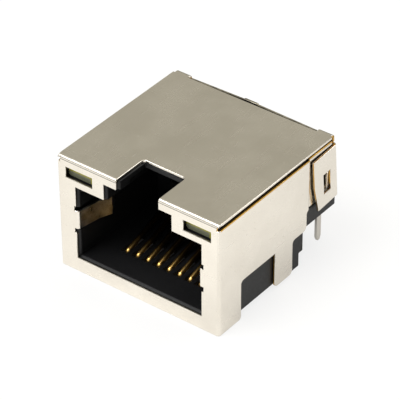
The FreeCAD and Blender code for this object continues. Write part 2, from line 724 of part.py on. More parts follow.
# Housing
def make_housing():
    body = new_body("housing")
    half = half_width - sheet_gauge - housing_gap
    narrow = half - joggle_depth
    front = sheet_gauge + frame_gap
    top = shell_height - sheet_gauge - housing_gap
    seat_top = seat_height + seat_block_height
    block(body, "front_block", "XY_Plane", housing_bottom, top,
          rectangle(-half, front, half, sunk_end))
    bends = edges_where(body.Shape, lambda p: abs(p.y - front.value) < 1e-4
                        and (abs(abs(p.x) - half.value) < 1e-4 or abs(p.z - top.value) < 1e-4))
    chamfered(body, "front_edges", bends, front_chamfer)
    block(body, "rear_block", "XY_Plane", seat_height, top,
          rectangle(-narrow, sunk_end - past, narrow, housing_rear))
    block(body, "seat_block", "XY_Plane", seat_height, seat_top,
          rectangle(-half, sunk_end - past, half, housing_rear))
    block(body, "ledge", "XY_Plane", seat_height, seat_height + ledge_height,
          rectangle(-half, housing_rear - past, half, ledge_end))
    foot_end = sunk_end - foot_setback
    foot_inner = half - foot_width
    foot = rectangle(foot_inner, foot_end - foot_depth, half, foot_end)
    block(body, "feet", "XY_Plane", foot_bottom, foot_step, foot, mirrored(foot))
    setback = rectangle(foot_inner, foot_end, half + past, sunk_end + past)
    pocket(body, "foot_setbacks", "XY_Plane", housing_bottom - past, foot_step,
           setback, mirrored(setback))
    # Plug cavity, latch step and latch room
    cavity_half = half_port - port_wall
    step_half = half_step - port_wall
    slot_half = half_slot - slot_margin
    cavity_bottom = port_bottom + port_wall
    cavity_top = port_shoulder - port_wall
    step_ceiling = step_top - port_wall
    latch_room_top = top - latch_roof
    mouth = [
        (-cavity_half, cavity_bottom),
        (cavity_half, cavity_bottom),
        (cavity_half, cavity_top),
        (step_half, cavity_top),
        (step_half, step_ceiling),
        (slot_half, step_ceiling),
        (slot_half, top + past),
        (-slot_half, top + past),
        (-slot_half, step_ceiling),
        (-step_half, step_ceiling),
        (-step_half, cavity_top),
        (-cavity_half, cavity_top),
    ]
    pocket(body, "mouth", "XZ_Plane", -past, latch_wall, mouth)
    rim = edges_where(body.Shape, lambda p: abs(p.y - front.value) < 1e-4
                      and abs(p.x) < cavity_half.value + 1e-3
                      and p.z > cavity_bottom.value - 1e-3)
    rim = [name for name in rim if body.Shape.getElement(name).CenterOfMass.z < top.value - 1e-3]
    chamfered(body, "mouth_edges", rim, mouth_chamfer)
    pocket(body, "cavity", "XZ_Plane", latch_wall, cavity_depth,
           rectangle(-cavity_half, cavity_bottom, cavity_half, cavity_top))
    pocket(body, "latch_room", "XZ_Plane", latch_wall, cavity_depth,
           rectangle(-step_half, cavity_top - past, step_half, latch_room_top))
    pocket(body, "latch_way", "XY_Plane", step_ceiling, top + past,
           rectangle(-slot_half, -past, slot_half, slot_depth + frame_gap))
    finger_top = finger_bottom + finger_height
    room = rectangle(cavity_half - past, finger_bottom - finger_room_margin,
                     cavity_half + finger_room, finger_top + finger_room_margin)
    pocket(body, "finger_rooms", "XZ_Plane", -past, finger_room_length, room, mirrored(room))
    # Lamp channels with the grooves for the leads
    channel = rectangle(lamp_inner - lens_margin - lens_gap, lamp_bottom - lens_margin - lens_gap,
                        lamp_inner + lamp_width + lens_margin + lens_gap,
                        lamp_bottom + lamp_height + lens_margin + lens_gap)
    pocket(body, "lamp_channels", "XZ_Plane", -past, housing_rear + past, channel, mirrored(channel))
    lamp_middle = lamp_inner + lamp_width / 2
    groove_half = lead_thickness / 2 + lead_gap
    grooves = []
    for place in (lamp_middle - lead_spacing / 2, lamp_middle + lead_spacing / 2):
        groove = rectangle(place - groove_half, lead_row - lead_width / 2 - lead_gap,
                           place + groove_half, housing_rear + lead_gap)
        grooves += [groove, mirrored(groove)]
    pocket(body, "lead_grooves", "XY_Plane", seat_height - past, lamp_bottom, *grooves)
    lead_level = lamp_bottom + lamp_height / 2
    way_half = lead_spacing / 2 + groove_half
    way_rise = lead_width / 2 + lead_gap
    lead_way = rectangle(lamp_middle - way_half, lead_level - way_rise,
                         lamp_middle + way_half, lead_level + way_rise)
    pocket(body, "lead_ways", "XZ_Plane", lens_recess + lens_length, housing_rear + past,
           lead_way, mirrored(lead_way))
    # Bay for the contact carrier, open at the back and towards the board
    carrier_half = outer_place + carrier_margin
    bay_half = carrier_half + carrier_gap
    pocket(body, "carrier_bay", "XY_Plane", seat_height - past,
           seat_height + carrier_height + carrier_gap,
           rectangle(-bay_half, sunk_end, bay_half, ledge_end + past))
    # Comb for the free ends of the springs
    comb_half = outer_place + comb_margin
    block(body, "comb", "XY_Plane", cavity_bottom - past / 2, comb_top,
          rectangle(-comb_half, cavity_depth - comb_depth, comb_half, cavity_depth + past / 2))
    riser_front = riser_back - wire_slot / 2
    slot_front = tip_front - slot_lead
    bridge = seat_height + bridge_rise
    slot_end = slot_front + slot_length
    wire_way = [
        (slot_front, housing_bottom - past),
        (sunk_end + past, housing_bottom - past),
        (sunk_end + past, bridge + wire_slot / 2),
        (riser_front, bridge + wire_slot / 2),
        (riser_front, lower_run + wire_slot / 2),
        (slot_end, lower_run + wire_slot / 2),
        (slot_end, cavity_bottom + past),
        (slot_front, cavity_bottom + past),
    ]
    comb_way = rectangle(cavity_depth - comb_depth - past, cavity_bottom,
                         cavity_depth - frame_gap, comb_top - comb_margin / 2)
    first = -outer_place
    way = pocket(body, "wire_way", "YZ_Plane", first - wire_slot / 2, first + wire_slot / 2,
                 wire_way, comb_way)
    pattern = body.newObject("PartDesign::LinearPattern", "wire_ways")
    pattern.Originals = [way]
    pattern.Direction = (origin_plane(body, "YZ_Plane"), [""])
    pattern.setExpression("Length", (outer_place * 2).formula)
    pattern.Occurrences = contact_count
    body.Tip = pattern
    doc.recompute()
    return body


# Contact carrier
def make_carrier():
    body = new_body("contact_carrier")
    half = outer_place + carrier_margin
    front = sunk_end + carrier_gap
    bridge = seat_height + bridge_rise
    slot_half = wire_diameter / 2 + carrier_slot_gap
    corner = wire_bend_inside - carrier_slot_gap
    block(body, "block", "XY_Plane", seat_height, seat_height + carrier_height,
          rectangle(-half, front, half, housing_rear))
    block(body, "heel", "XY_Plane", seat_height, seat_height + ledge_height,
          rectangle(-half, housing_rear - past, half, ledge_end))
    for name, offset, row in (("odd", 0, front_row), ("even", 1, front_row + row_spacing)):
        channel = [
            (front - past, bridge - slot_half),
            (row - slot_half - corner, bridge - slot_half),
            Arc((row - slot_half, bridge - slot_half - corner),
                (row - slot_half - corner, bridge - slot_half - corner), corner, clockwise=True),
            (row - slot_half, seat_height - past),
            (row + slot_half, seat_height - past),
            (row + slot_half, bridge + slot_half),
            (front - past, bridge + slot_half),
        ]
        place = contact_pitch * offset - outer_place
        way = pocket(body, name + "_way", "YZ_Plane", place - slot_half, place + slot_half, channel)
        pattern = body.newObject("PartDesign::LinearPattern", name + "_ways")
        pattern.Originals = [way]
        pattern.Direction = (origin_plane(body, "YZ_Plane"), [""])
        pattern.setExpression("Length", (outer_place * 2 - contact_pitch).formula)
        pattern.Occurrences = contact_count // 2
        body.Tip = pattern
        doc.recompute()
    return body


# Contacts: round pins, and wire that is coined square above the board
def contact_path(row):
    """Centre line of a contact, from the board's top surface to the free end of its spring."""
    bridge = seat_height + bridge_rise
    bend = wire_bend_inside + wire_diameter / 2
    tip_centre_y = tip_front + wire_diameter / 2 + tip_radius
    tip_centre_z = lower_run + tip_radius
    crest_y = tip_centre_y - tip_radius * sine(contact_slope)
    crest_z = tip_centre_z + tip_radius * cosine(contact_slope)
    end_z = crest_z + (spring_end - crest_y) * tangent(contact_slope)
    return [
        (row, seat_height),
        (row, bridge - bend),
        Arc((row - bend, bridge), (row - bend, bridge - bend), bend),
        (riser_back + bend, bridge),
        Arc((riser_back, bridge - bend), (riser_back + bend, bridge - bend), bend),
        (riser_back, lower_run + bend),
        Arc((riser_back - bend, lower_run), (riser_back - bend, lower_run + bend), bend,
            clockwise=True),
        (tip_centre_y, lower_run),
        Arc((crest_y, crest_z), (tip_centre_y, tip_centre_z), tip_radius, clockwise=True),
        (spring_end, end_z),
    ]


def make_contact(number):
    body = new_body(f"contact_{number}")
    place = contact_pitch * (number - 1) - outer_place
    row = front_row if number % 2 else front_row + row_spacing
    path = draw(body, f"contact_{number}_path", "YZ_Plane", place, [contact_path(row)], closed=False)
    half = wire_flat / 2
    section = draw(body, f"contact_{number}_section", "XY_Plane", seat_height,
                   [rectangle(place - half, row - half, place + half, row + half)])
    doc.recompute()
    wire = body.newObject("PartDesign::AdditivePipe", f"contact_{number}_wire")
    wire.Profile = section
    wire.Spine = path
    doc.recompute()
    foot = draw(body, f"contact_{number}_pin_section", "XY_Plane", seat_height - pin_length, [])
    circle = Part.Circle(Vector(place.value, row.value, 0), Vector(0, 0, 1), wire_diameter.value / 2)
    ring = foot.addGeometry(circle, False)
    pin_point(foot, ring, 3, (place, row))
    tie = foot.addConstraint(Sketcher.Constraint("Radius", ring, wire_diameter.value / 2))
    foot.setExpression(f"Constraints[{tie}]", (wire_diameter / 2).formula)
    pin = body.newObject("PartDesign::Pad", f"contact_{number}_pin")
    pin.Profile = foot
    pin.setExpression("Length", pin_length.formula)
    doc.recompute()
    return body


# Lamps: a clear moulded body with two flat leads that run back and down to the board
def lamp_place(side):
    middle = lamp_inner + lamp_width / 2
    return middle if side == "right" else -middle


def make_lamp(side):
    body = new_body(f"lamp_{side}")
    middle = lamp_place(side)
    half = lamp_width / 2 + lens_margin
    bottom = lamp_bottom - lens_margin
    top = lamp_bottom + lamp_height + lens_margin
    block(body, f"lamp_{side}_body", "XZ_Plane", lens_recess, lens_recess + lens_length,
          rectangle(middle - half, bottom, middle + half, top))
    low = bottom.value + 1e-3
    corners = edges_where(body.Shape, lambda p: p.z < low)
    lengthwise = [name for name in corners
                  if body.Shape.getElement(name).BoundBox.YLength > lens_length.value / 2]
    plain = body.Tip
    rounding = body.newObject("PartDesign::Fillet", f"lamp_{side}_edges")
    rounding.Base = (plain, lengthwise)
    rounding.setExpression("Radius", lens_round.formula)
    body.Tip = rounding
    doc.recompute()
    return body


def lead_outline():
    """Side view of a lamp lead: back along the channel, then down to a tapered pin."""
    start = lens_recess + lens_length
    level = lamp_bottom + lamp_height / 2
    half = lead_width / 2
    bottom = seat_height - lead_length
    inner = lead_round
    outer = lead_round + lead_width
    front_face = lead_row - half
    rear_face = lead_row + half
    bend_y = front_face - inner
    bend_z = level - half - inner
    return [
        (start, level - half),
        (bend_y, level - half),
        Arc((front_face, bend_z), (bend_y, bend_z), inner, clockwise=True),
        (front_face, bottom + lead_taper),
        (lead_row - half / 2, bottom),
        (lead_row + half / 2, bottom),
        (rear_face, bottom + lead_taper),
        (rear_face, bend_z),
        Arc((bend_y, level + half), (bend_y, bend_z), outer),
        (start, level + half),
    ]


def make_lead(side, which):
    name = f"lamp_{side}_lead_{which}"
    body = new_body(name)
    away = 1 if which == "outer" else -1
    if side == "left":
        away = -away
    place = lamp_place(side) + lead_spacing / 2 * away
    block(body, name + "_blade", "YZ_Plane", place - lead_thickness / 2, place + lead_thickness / 2,
          lead_outline())
    return body


shell_front = make_shell_front()
shell_back = make_shell_back()
lean_back(shell_back)
doc.recompute()
shell = doc.addObject("Part::Fuse", "shell")
shell.Label = "shell"
shell.Base = shell_front
shell.Tool = shell_back
shell.Refine = True
doc.recompute()

pieces = [shell, make_housing(), make_carrier()]
pieces += [make_contact(number) for number in range(1, contact_count + 1)]
for side in ("left", "right"):
    pieces.append(make_lamp(side))
    pieces += [make_lead(side, which) for which in ("inner", "outer")]

# The origin moves to the middle of the board seat
seat_middle = (sunk_end + ledge_end) / 2
for piece in pieces:
    piece.Placement = FreeCAD.Placement(
        Vector(0, -seat_middle.value, -seat_height.value), FreeCAD.Rotation())
    piece.setExpression("Placement.Base.y", (-seat_middle).formula)
    piece.setExpression("Placement.Base.z", (-seat_height).formula)
doc.recompute()

for item in doc.Objects:
    if "Invalid" in item.State or "Error" in item.State:
        raise ValueError(f"{item.Name} failed: {item.State}")
for piece in pieces:
    shape = piece.Shape
    if shape.isNull() or not shape.isValid() or len(shape.Solids) != 1:
        raise ValueError(f"{piece.Label} is not one valid solid")

os.makedirs("parts", exist_ok=True)
for piece in pieces:
    piece.Shape.exportStep(f"parts/{piece.Label}.step")
    box = piece.Shape.BoundBox
    print(f"{piece.Label}: {piece.Shape.Volume:.3f} mm3, "
          f"{box.XLength:.2f} x {box.YLength:.2f} x {box.ZLength:.2f}")
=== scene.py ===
import math
import bmesh
import bpy
from mathutils import Matrix, Vector
from mathutils.bvhtree import BVHTree


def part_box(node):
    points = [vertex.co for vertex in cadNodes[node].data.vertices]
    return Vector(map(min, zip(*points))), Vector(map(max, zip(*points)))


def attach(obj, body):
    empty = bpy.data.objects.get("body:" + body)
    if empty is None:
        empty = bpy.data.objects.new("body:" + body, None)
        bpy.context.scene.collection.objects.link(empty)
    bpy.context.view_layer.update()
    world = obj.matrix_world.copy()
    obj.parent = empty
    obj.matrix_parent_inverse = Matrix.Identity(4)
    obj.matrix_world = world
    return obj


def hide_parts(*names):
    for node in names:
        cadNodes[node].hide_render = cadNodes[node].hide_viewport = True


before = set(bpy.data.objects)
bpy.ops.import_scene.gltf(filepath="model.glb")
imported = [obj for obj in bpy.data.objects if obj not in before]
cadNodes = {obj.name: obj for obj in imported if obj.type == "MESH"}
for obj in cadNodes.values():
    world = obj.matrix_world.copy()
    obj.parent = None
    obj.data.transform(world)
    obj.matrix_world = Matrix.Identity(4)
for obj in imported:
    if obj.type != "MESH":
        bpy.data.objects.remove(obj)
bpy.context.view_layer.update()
scene = bpy.context.scene
mm = 0.001
print("frame loaded:", len(cadNodes), "nodes")


# Shader graphs, written as sums on sockets
class Signal:
    def __init__(self, graph, socket):
        self.graph = graph
        self.socket = socket

    def join(self, operation, first, second):
        return self.graph.read("ShaderNodeMath", {"operation": operation}, {0: first, 1: second})

    def __add__(self, other):
        return self.join("ADD", self, other)

    def __radd__(self, other):
        return self.join("ADD", other, self)

    def __sub__(self, other):
        return self.join("SUBTRACT", self, other)

    def __rsub__(self, other):
        return self.join("SUBTRACT", other, self)

    def __mul__(self, other):
        return self.join("MULTIPLY", self, other)

    def __rmul__(self, other):
        return self.join("MULTIPLY", other, self)

    def least(self, other):
        return self.join("MINIMUM", self, other)

    def most(self, other):
        return self.join("MAXIMUM", self, other)

    def apart(self, value):  # distance from a value
        return (self - value).most(value - self)

    def step(self, low, high):  # 0 below low, 1 above high, smooth between
        return self.graph.read("ShaderNodeMapRange", {"interpolation_type": "SMOOTHSTEP"},
                               {"Value": self, "From Min": low, "From Max": high})


class Graph:
    def __init__(self, tree):
        self.tree = tree
        tree.nodes.clear()

    def node(self, kind, settings=None, inputs=None):
        made = self.tree.nodes.new(kind)
        for name, value in (settings or {}).items():
            setattr(made, name, value)
        for key, value in (inputs or {}).items():
            if isinstance(value, Signal):
                self.tree.links.new(value.socket, made.inputs[key])
            else:
                made.inputs[key].default_value = value
        return made

    def read(self, kind, settings=None, inputs=None, output=0):
        return Signal(self, self.node(kind, settings, inputs).outputs[output])

    def place(self):  # the point on the piece, in millimetres of the shared frame
        point = self.read("ShaderNodeTexCoord", output="Object")
        return self.read("ShaderNodeVectorMath", {"operation": "SCALE"}, {0: point, "Scale": 1 / mm})

    def parts(self, vector):
        split = self.node("ShaderNodeSeparateXYZ", inputs={0: vector})
        return [Signal(self, output) for output in split.outputs]

    def noise(self, point, scale, detail=3.0, stretch=(1, 1, 1), turn=(0, 0, 0)):
        turned = self.read("ShaderNodeMapping",
                           inputs={"Vector": point, "Rotation": turn, "Scale": stretch})
        return self.read("ShaderNodeTexNoise", inputs={"Vector": turned, "Scale": scale, "Detail": detail})

    def blend(self, share, first, second):  # colours, mixed by a share from 0 to 1
        made = self.node("ShaderNodeMix", {"data_type": "RGBA"})
        for key, value in ((0, share), (6, first), (7, second)):
            if isinstance(value, Signal):
                self.tree.links.new(value.socket, made.inputs[key])
            else:
                made.inputs[key].default_value = value if key == 0 else (*value, 1)
        return Signal(self, made.outputs[2])

    def bump(self, height, relief):  # relief: strength and depth
        strength, depth = relief
        return self.read("ShaderNodeBump",
                         inputs={"Height": height, "Strength": strength, "Distance": depth})

    def finish(self, inputs):
        shader = self.read("ShaderNodeBsdfPrincipled", inputs=inputs)
        self.node("ShaderNodeOutputMaterial", inputs={"Surface": shader})


def newMaterial(name):
    material = bpy.data.materials.new(name)
    material.use_nodes = True
    return material, Graph(material.node_tree)


# Nickel plate on brass strip: cream where it mirrors the table, with rolled grain and light scuffs
nickel = {
    "bright": (0.96, 0.905, 0.815),
    "dull": (0.89, 0.835, 0.745),
    "paintedBendLine": (0.12, 0.11, 0.09),  # painted dark reflection line under the front bend, standing in for the dark horizon it mirrors
    "paintedBendLineHeight": 6.655,
    "paintedBendLineFade": (0.0126, 0.042),
    "paintedBendLineFront": (-13.19, -13.17),
    "roughness": 0.25,
    "roughnessSpread": 0.10,
    "cloud": 0.35,  # noise scales, per millimetre
    "grain": 9.0,
    "speck": 22.0,
    "scuffs": (  # scale, stretch, turn, and the noise over which a scuff sets in
        (1.6, (4.0, 0.16, 4.0), 0.5, (0.66, 0.72)),
        (1.3, (0.18, 5.0, 3.0), -0.25, (0.67, 0.73)),
    ),
    "relief": (0.05, 2e-6),
}


def makeNickel():
    material, graph = newMaterial("nickelPlate")
    place = graph.place()
    cloud = graph.noise(place, nickel["cloud"], 3)
    grain = graph.noise(place, nickel["grain"], 2, stretch=(1, 0.12, 1))
    speck = graph.noise(place, nickel["speck"], 2)
    scuffs = [graph.noise(place, scale, 2, stretch=stretch, turn=(0, 0, turn)).step(*span)
              for scale, stretch, turn, span in nickel["scuffs"]]
    scuff = scuffs[0].most(scuffs[1])
    tone = (cloud.step(0.3, 0.7) * 0.5 + speck * 0.25 + grain * 0.25 - scuff * 0.2).step(0, 1)
    _, along, up = graph.parts(place)
    # painted dark reflection line under the front bend
    paintedBendLine = 1 - up.apart(nickel["paintedBendLineHeight"]).step(*nickel["paintedBendLineFade"])
    paintedBendLine = paintedBendLine * (1 - along.step(*nickel["paintedBendLineFront"]))
    plate = graph.blend(tone, nickel["dull"], nickel["bright"])
    graph.finish({
        "Base Color": graph.blend(paintedBendLine, plate, nickel["paintedBendLine"]),
        "Metallic": 1.0,
        "Roughness": (nickel["roughness"] + (cloud - 0.5) * nickel["roughnessSpread"]
                      + (grain - 0.5) * 0.06 + scuff * 0.05),
        "Normal": graph.bump(grain + speck * 0.6 - scuff * 0.5, nickel["relief"]),
    })
    return material


# Sheared edge of the strip: plate smeared over the outer side, bare brass towards the inner side
cutEdge = {
    "plate": (0.82, 0.58, 0.24),
    "brass": (0.62, 0.35, 0.06),
    "brassShare": (0.30, 0.62),  # noise over which the brass sets in
    "drag": 6.0,  # noise scales, per millimetre
    "streak": 28.0,
    "roughness": 0.34,
    "relief": (0.25, 6e-6),
}


def makeCutEdge():
    material, graph = newMaterial("cutEdge")
    place = graph.place()
    drag = graph.noise(place, cutEdge["drag"], 2)
    streak = graph.noise(place, cutEdge["streak"], 2, stretch=(1, 1, 0.3))
    brass = (drag * 0.8 + streak * 0.35).step(*cutEdge["brassShare"])
    graph.finish({
        "Base Color": graph.blend(brass, cutEdge["plate"], cutEdge["brass"]),
        "Metallic": 1.0,
        "Roughness": cutEdge["roughness"] + (streak - 0.5) * 0.2,
        "Normal": graph.bump(streak, cutEdge["relief"]),
    })
    return material


# Plate painted dark as shade: along the rear edge of the top, and on the fingers inside the opening
shadedPlate = {
    "rearEdgeShade": {"dark": (0.20, 0.18, 0.14), "light": (0.42, 0.385, 0.30), "roughness": 0.45},
    "finger": {"dark": (0.26, 0.24, 0.22), "light": (0.62, 0.60, 0.58), "roughness": 0.30},
    "patch": 1.4,  # noise scales, per millimetre
    "grain": 16.0,
    "relief": (0.1, 3e-6),
}


def makeShadedPlate(name, look):
    material, graph = newMaterial(name)
    place = graph.place()
    patch = graph.noise(place, shadedPlate["patch"], 3)
    grain = graph.noise(place, shadedPlate["grain"], 2, stretch=(0.3, 1, 1))
    graph.finish({
        "Base Color": graph.blend((patch * 0.7 + grain * 0.3).step(0.3, 0.7), look["dark"], look["light"]),
        "Metallic": 1.0,
        "Roughness": look["roughness"] + (patch - 0.5) * 0.15,
        "Normal": graph.bump(grain, shadedPlate["relief"]),
    })
    return material


# Black glass-filled moulding, satin, with a fine sparkle of fibres
moulding = {
    "deep": (0.006, 0.006, 0.0065),
    "fibre": (0.050, 0.051, 0.056),
    "specular": 0.30,
    "cavityShade": 0.7,  # painted shade: how much darker the moulding is made inside the plug cavity
    "cavityFront": (-12.95, -12.7),
    "cavitySide": (6.0, 6.15),
    "roughness": 0.42,
    "flow": 0.5,  # noise scales, per millimetre
    "fibreGrain": 14.0,
    "pore": 30.0,
    "relief": (0.12, 5e-6),
}


def makeMoulding():
    material, graph = newMaterial("blackMoulding")
    place = graph.place()
    flow = graph.noise(place, moulding["flow"], 3, stretch=(1, 0.4, 1))
    fibre = graph.noise(place, moulding["fibreGrain"], 3, stretch=(1, 0.35, 1), turn=(0.3, 0.2, 0.4))
    fibre = fibre.step(0.5, 0.8)
    pore = graph.noise(place, moulding["pore"], 2)
    across, along, _ = graph.parts(place)
    # painted shade inside the plug cavity
    shadedCavity = along.step(*moulding["cavityFront"]) * (1 - across.apart(0).step(*moulding["cavitySide"]))
    tone = (fibre * 0.6 + flow * 0.2) * (1 - shadedCavity * moulding["cavityShade"])
    graph.finish({
        "Base Color": graph.blend(tone, moulding["deep"], moulding["fibre"]),
        "Roughness": moulding["roughness"] + (flow - 0.5) * 0.12 + (pore - 0.5) * 0.08,
        "Specular IOR Level": moulding["specular"],
        "Normal": graph.bump(pore + fibre * 0.5, moulding["relief"]),
    })
    return material


# Gold plate on drawn wire, with painted shade on the springs deeper in the cavity
gold = {
    "bright": (1.0, 0.69, 0.25),
    "deep": (0.84, 0.47, 0.11),
    "shadedGold": (0.12, 0.070, 0.021),  # painted shade on the springs, darker deeper in the cavity towards the rear
    "shadeStart": (-10.4, -8.2),  # depths over which it sets in and ends
    "shadeEnd": (-3.3, -2.9),
    "roughness": 0.31,
    "draw": 12.0,  # noise scales, per millimetre
    "cloud": 1.2,
    "relief": (0.08, 3e-6),
}


def makeGold():
    material, graph = newMaterial("goldPlate")
    place = graph.place()
    draw = graph.noise(place, gold["draw"], 2, stretch=(3, 0.1, 0.3))
    cloud = graph.noise(place, gold["cloud"], 2)
    plate = graph.blend(cloud * 0.7 + draw * 0.3, gold["deep"], gold["bright"])
    along = graph.parts(place)[1]
    # painted shade, setting in deeper in the cavity towards the rear
    depthShade = (along + (cloud - 0.5) * 0.8).step(*gold["shadeStart"])
    depthShade = depthShade * (1 - along.step(*gold["shadeEnd"]))
    graph.finish({
        "Base Color": graph.blend(depthShade, plate, gold["shadedGold"]),
        "Metallic": 1.0,
        "Roughness": gold["roughness"] + (draw - 0.5) * 0.12,
        "Normal": graph.bump(draw, gold["relief"]),
    })
    return material


# Smoky resin of the lamps, with a painted yellow reflection along the inner edge of the light guide at the
# top and the right
resin = {
    "middle": (0.195, 0.203, 0.142),
    # painted yellow reflection along the light guide's rim
    "edge": (0.42, 0.38, 0.012),
    "rimAcross": 0.45,  # how far the yellow line lies in from the side and from the top
    "rimUp": 0.52,
    "rimFade": (0.04, 0.19),
    "cloud": 2.5,  # noise scale, per millimetre
    "coat": 0.4,
    "roughness": 0.22,
    "relief": (0.06, 1e-5),
}


def makeResin(name, node):
    material, graph = newMaterial(name)
    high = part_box(node)[1]
    place = graph.place()
    across, _, up = graph.parts(place)
    fromRim = (high.x / mm - resin["rimAcross"] - across).least(high.z / mm - resin["rimUp"] - up)
    # painted yellow reflection along the top and right rim
    rimReflection = 1 - fromRim.apart(0).step(*resin["rimFade"])
    cloud = graph.noise(place, resin["cloud"], 2)
    tint = (rimReflection * 0.85 + (cloud - 0.5) * 0.3).step(0, 1)
    graph.finish({
        "Base Color": graph.blend(tint, resin["middle"], resin["edge"]),
        "Roughness": resin["roughness"] + (cloud - 0.5) * 0.1,
        "Coat Weight": resin["coat"],
        "Normal": graph.bump(cloud, resin["relief"]),
    })
    return material


# Tin plate on the lamp leads
tin = {
    "bright": (0.86, 0.82, 0.76),
    "dull": (0.66, 0.62, 0.56),
    "roughness": 0.33,
    "dip": 2.2,  # noise scales, per millimetre
    "speck": 18.0,
    "relief": (0.12, 5e-6),
}


def makeTin():
    material, graph = newMaterial("tinPlate")
    place = graph.place()
    dip = graph.noise(place, tin["dip"], 3, stretch=(1, 1, 0.4))
    speck = graph.noise(place, tin["speck"], 2)
    graph.finish({
        "Base Color": graph.blend(dip * 0.7 + speck * 0.3, tin["dull"], tin["bright"]),
        "Metallic": 1.0,
        "Roughness": tin["roughness"] + (dip - 0.5) * 0.16,
        "Normal": graph.bump(dip + speck * 0.3, tin["relief"]),
    })
    return material


materials = {
    "nickel": makeNickel(),
    "cutEdge": makeCutEdge(),
    "shadedPlate": makeShadedPlate("rearEdgeShadedPlate", shadedPlate["rearEdgeShade"]),
    "finger": makeShadedPlate("fingerPlate", shadedPlate["finger"]),
    "moulding": makeMoulding(),
    "gold": makeGold(),
    "tin": makeTin(),
}
print("materials made:", len(materials))


# Pieces made from the solids: merged, their facets joined, their edges broken as tooling leaves them
making = {
    "merge": 1e-7,  # points nearer than this are one
    "flat": math.radians(0.6),  # facets that turn less than this become one face
    "sharp": math.radians(32),  # a turn of more than this is an edge
    "room": 2.2,  # widths that a face needs from edge to edge to carry a full rounding
    "segments": 2,
}


def solidMesh(node):
    mesh = bmesh.new()
    mesh.from_mesh(cadNodes[node].data)
    bmesh.ops.remove_doubles(mesh, verts=mesh.verts, dist=making["merge"])
    bmesh.ops.dissolve_limit(mesh, angle_limit=making["flat"], verts=mesh.verts, edges=mesh.edges)
    return mesh


def newPiece(name, mesh, slots):
    data = bpy.data.meshes.new(name)
    mesh.to_mesh(data)
    mesh.free()
    for material in slots:
        data.materials.append(material)
    piece = bpy.data.objects.new(name, data)
    scene.collection.objects.link(piece)
    return piece


def settle(piece):  # turns the live modifiers into plain mesh
    graph = bpy.context.evaluated_depsgraph_get()
    graph.update()
    data = bpy.data.meshes.new_from_object(piece.evaluated_get(graph))
    piece.modifiers.clear()
    piece.data = data


def faceDepth(loop):  # how far the loop's face reaches inwards from the middle of the loop's edge
    along = (loop.link_loop_next.vert.co - loop.vert.co).normalized()
    inward = loop.face.normal.cross(along)
    middle = (loop.link_loop_next.vert.co + loop.vert.co) / 2
    corners = [vert.co - middle for vert in loop.face.verts]
    flat = [(corner.dot(along), corner.dot(inward)) for corner in corners]
    depth = 1.0
    for (u0, w0), (u1, w1) in zip(flat, flat[1:] + flat[:1]):
        if u0 * u1 < 0:
            crossing = w0 - u0 * (w1 - w0) / (u1 - u0)
            if crossing > 1e-8:
                depth = min(depth, crossing)
    return depth


def weighEdges(mesh, width):  # less on narrow faces, none in inner corners
    layer = mesh.edges.layers.float.new("bevel_weight_edge")
    for edge in mesh.edges:
        angle = edge.calc_face_angle_signed(0)
        edge.smooth = abs(angle) < making["sharp"]
        if angle > making["sharp"]:
            room = min(faceDepth(loop) for loop in edge.link_loops)
            edge[layer] = min(1.0, room / (making["room"] * width))


def breakEdges(piece, width, edgeSlot=-1):  # -1 takes each rounding's material from beside it
    mesh = bmesh.new()
    mesh.from_mesh(piece.data)
    mesh.normal_update()
    weighEdges(mesh, width)
    for face in mesh.faces:
        face.smooth = True
    mesh.to_mesh(piece.data)
    mesh.free()
    edge = piece.modifiers.new("brokenEdges", "BEVEL")
    edge.width = width
    edge.segments = making["segments"]
    edge.limit_method = "WEIGHT"
    edge.use_clamp_overlap = False
    edge.material = edgeSlot
    normals = piece.modifiers.new("flatFaces", "WEIGHTED_NORMAL")
    normals.weight = 100
    normals.keep_sharp = True
    settle(piece)


def dress(piece, slot, *replaced):
    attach(piece, "root")
    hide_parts(*replaced)


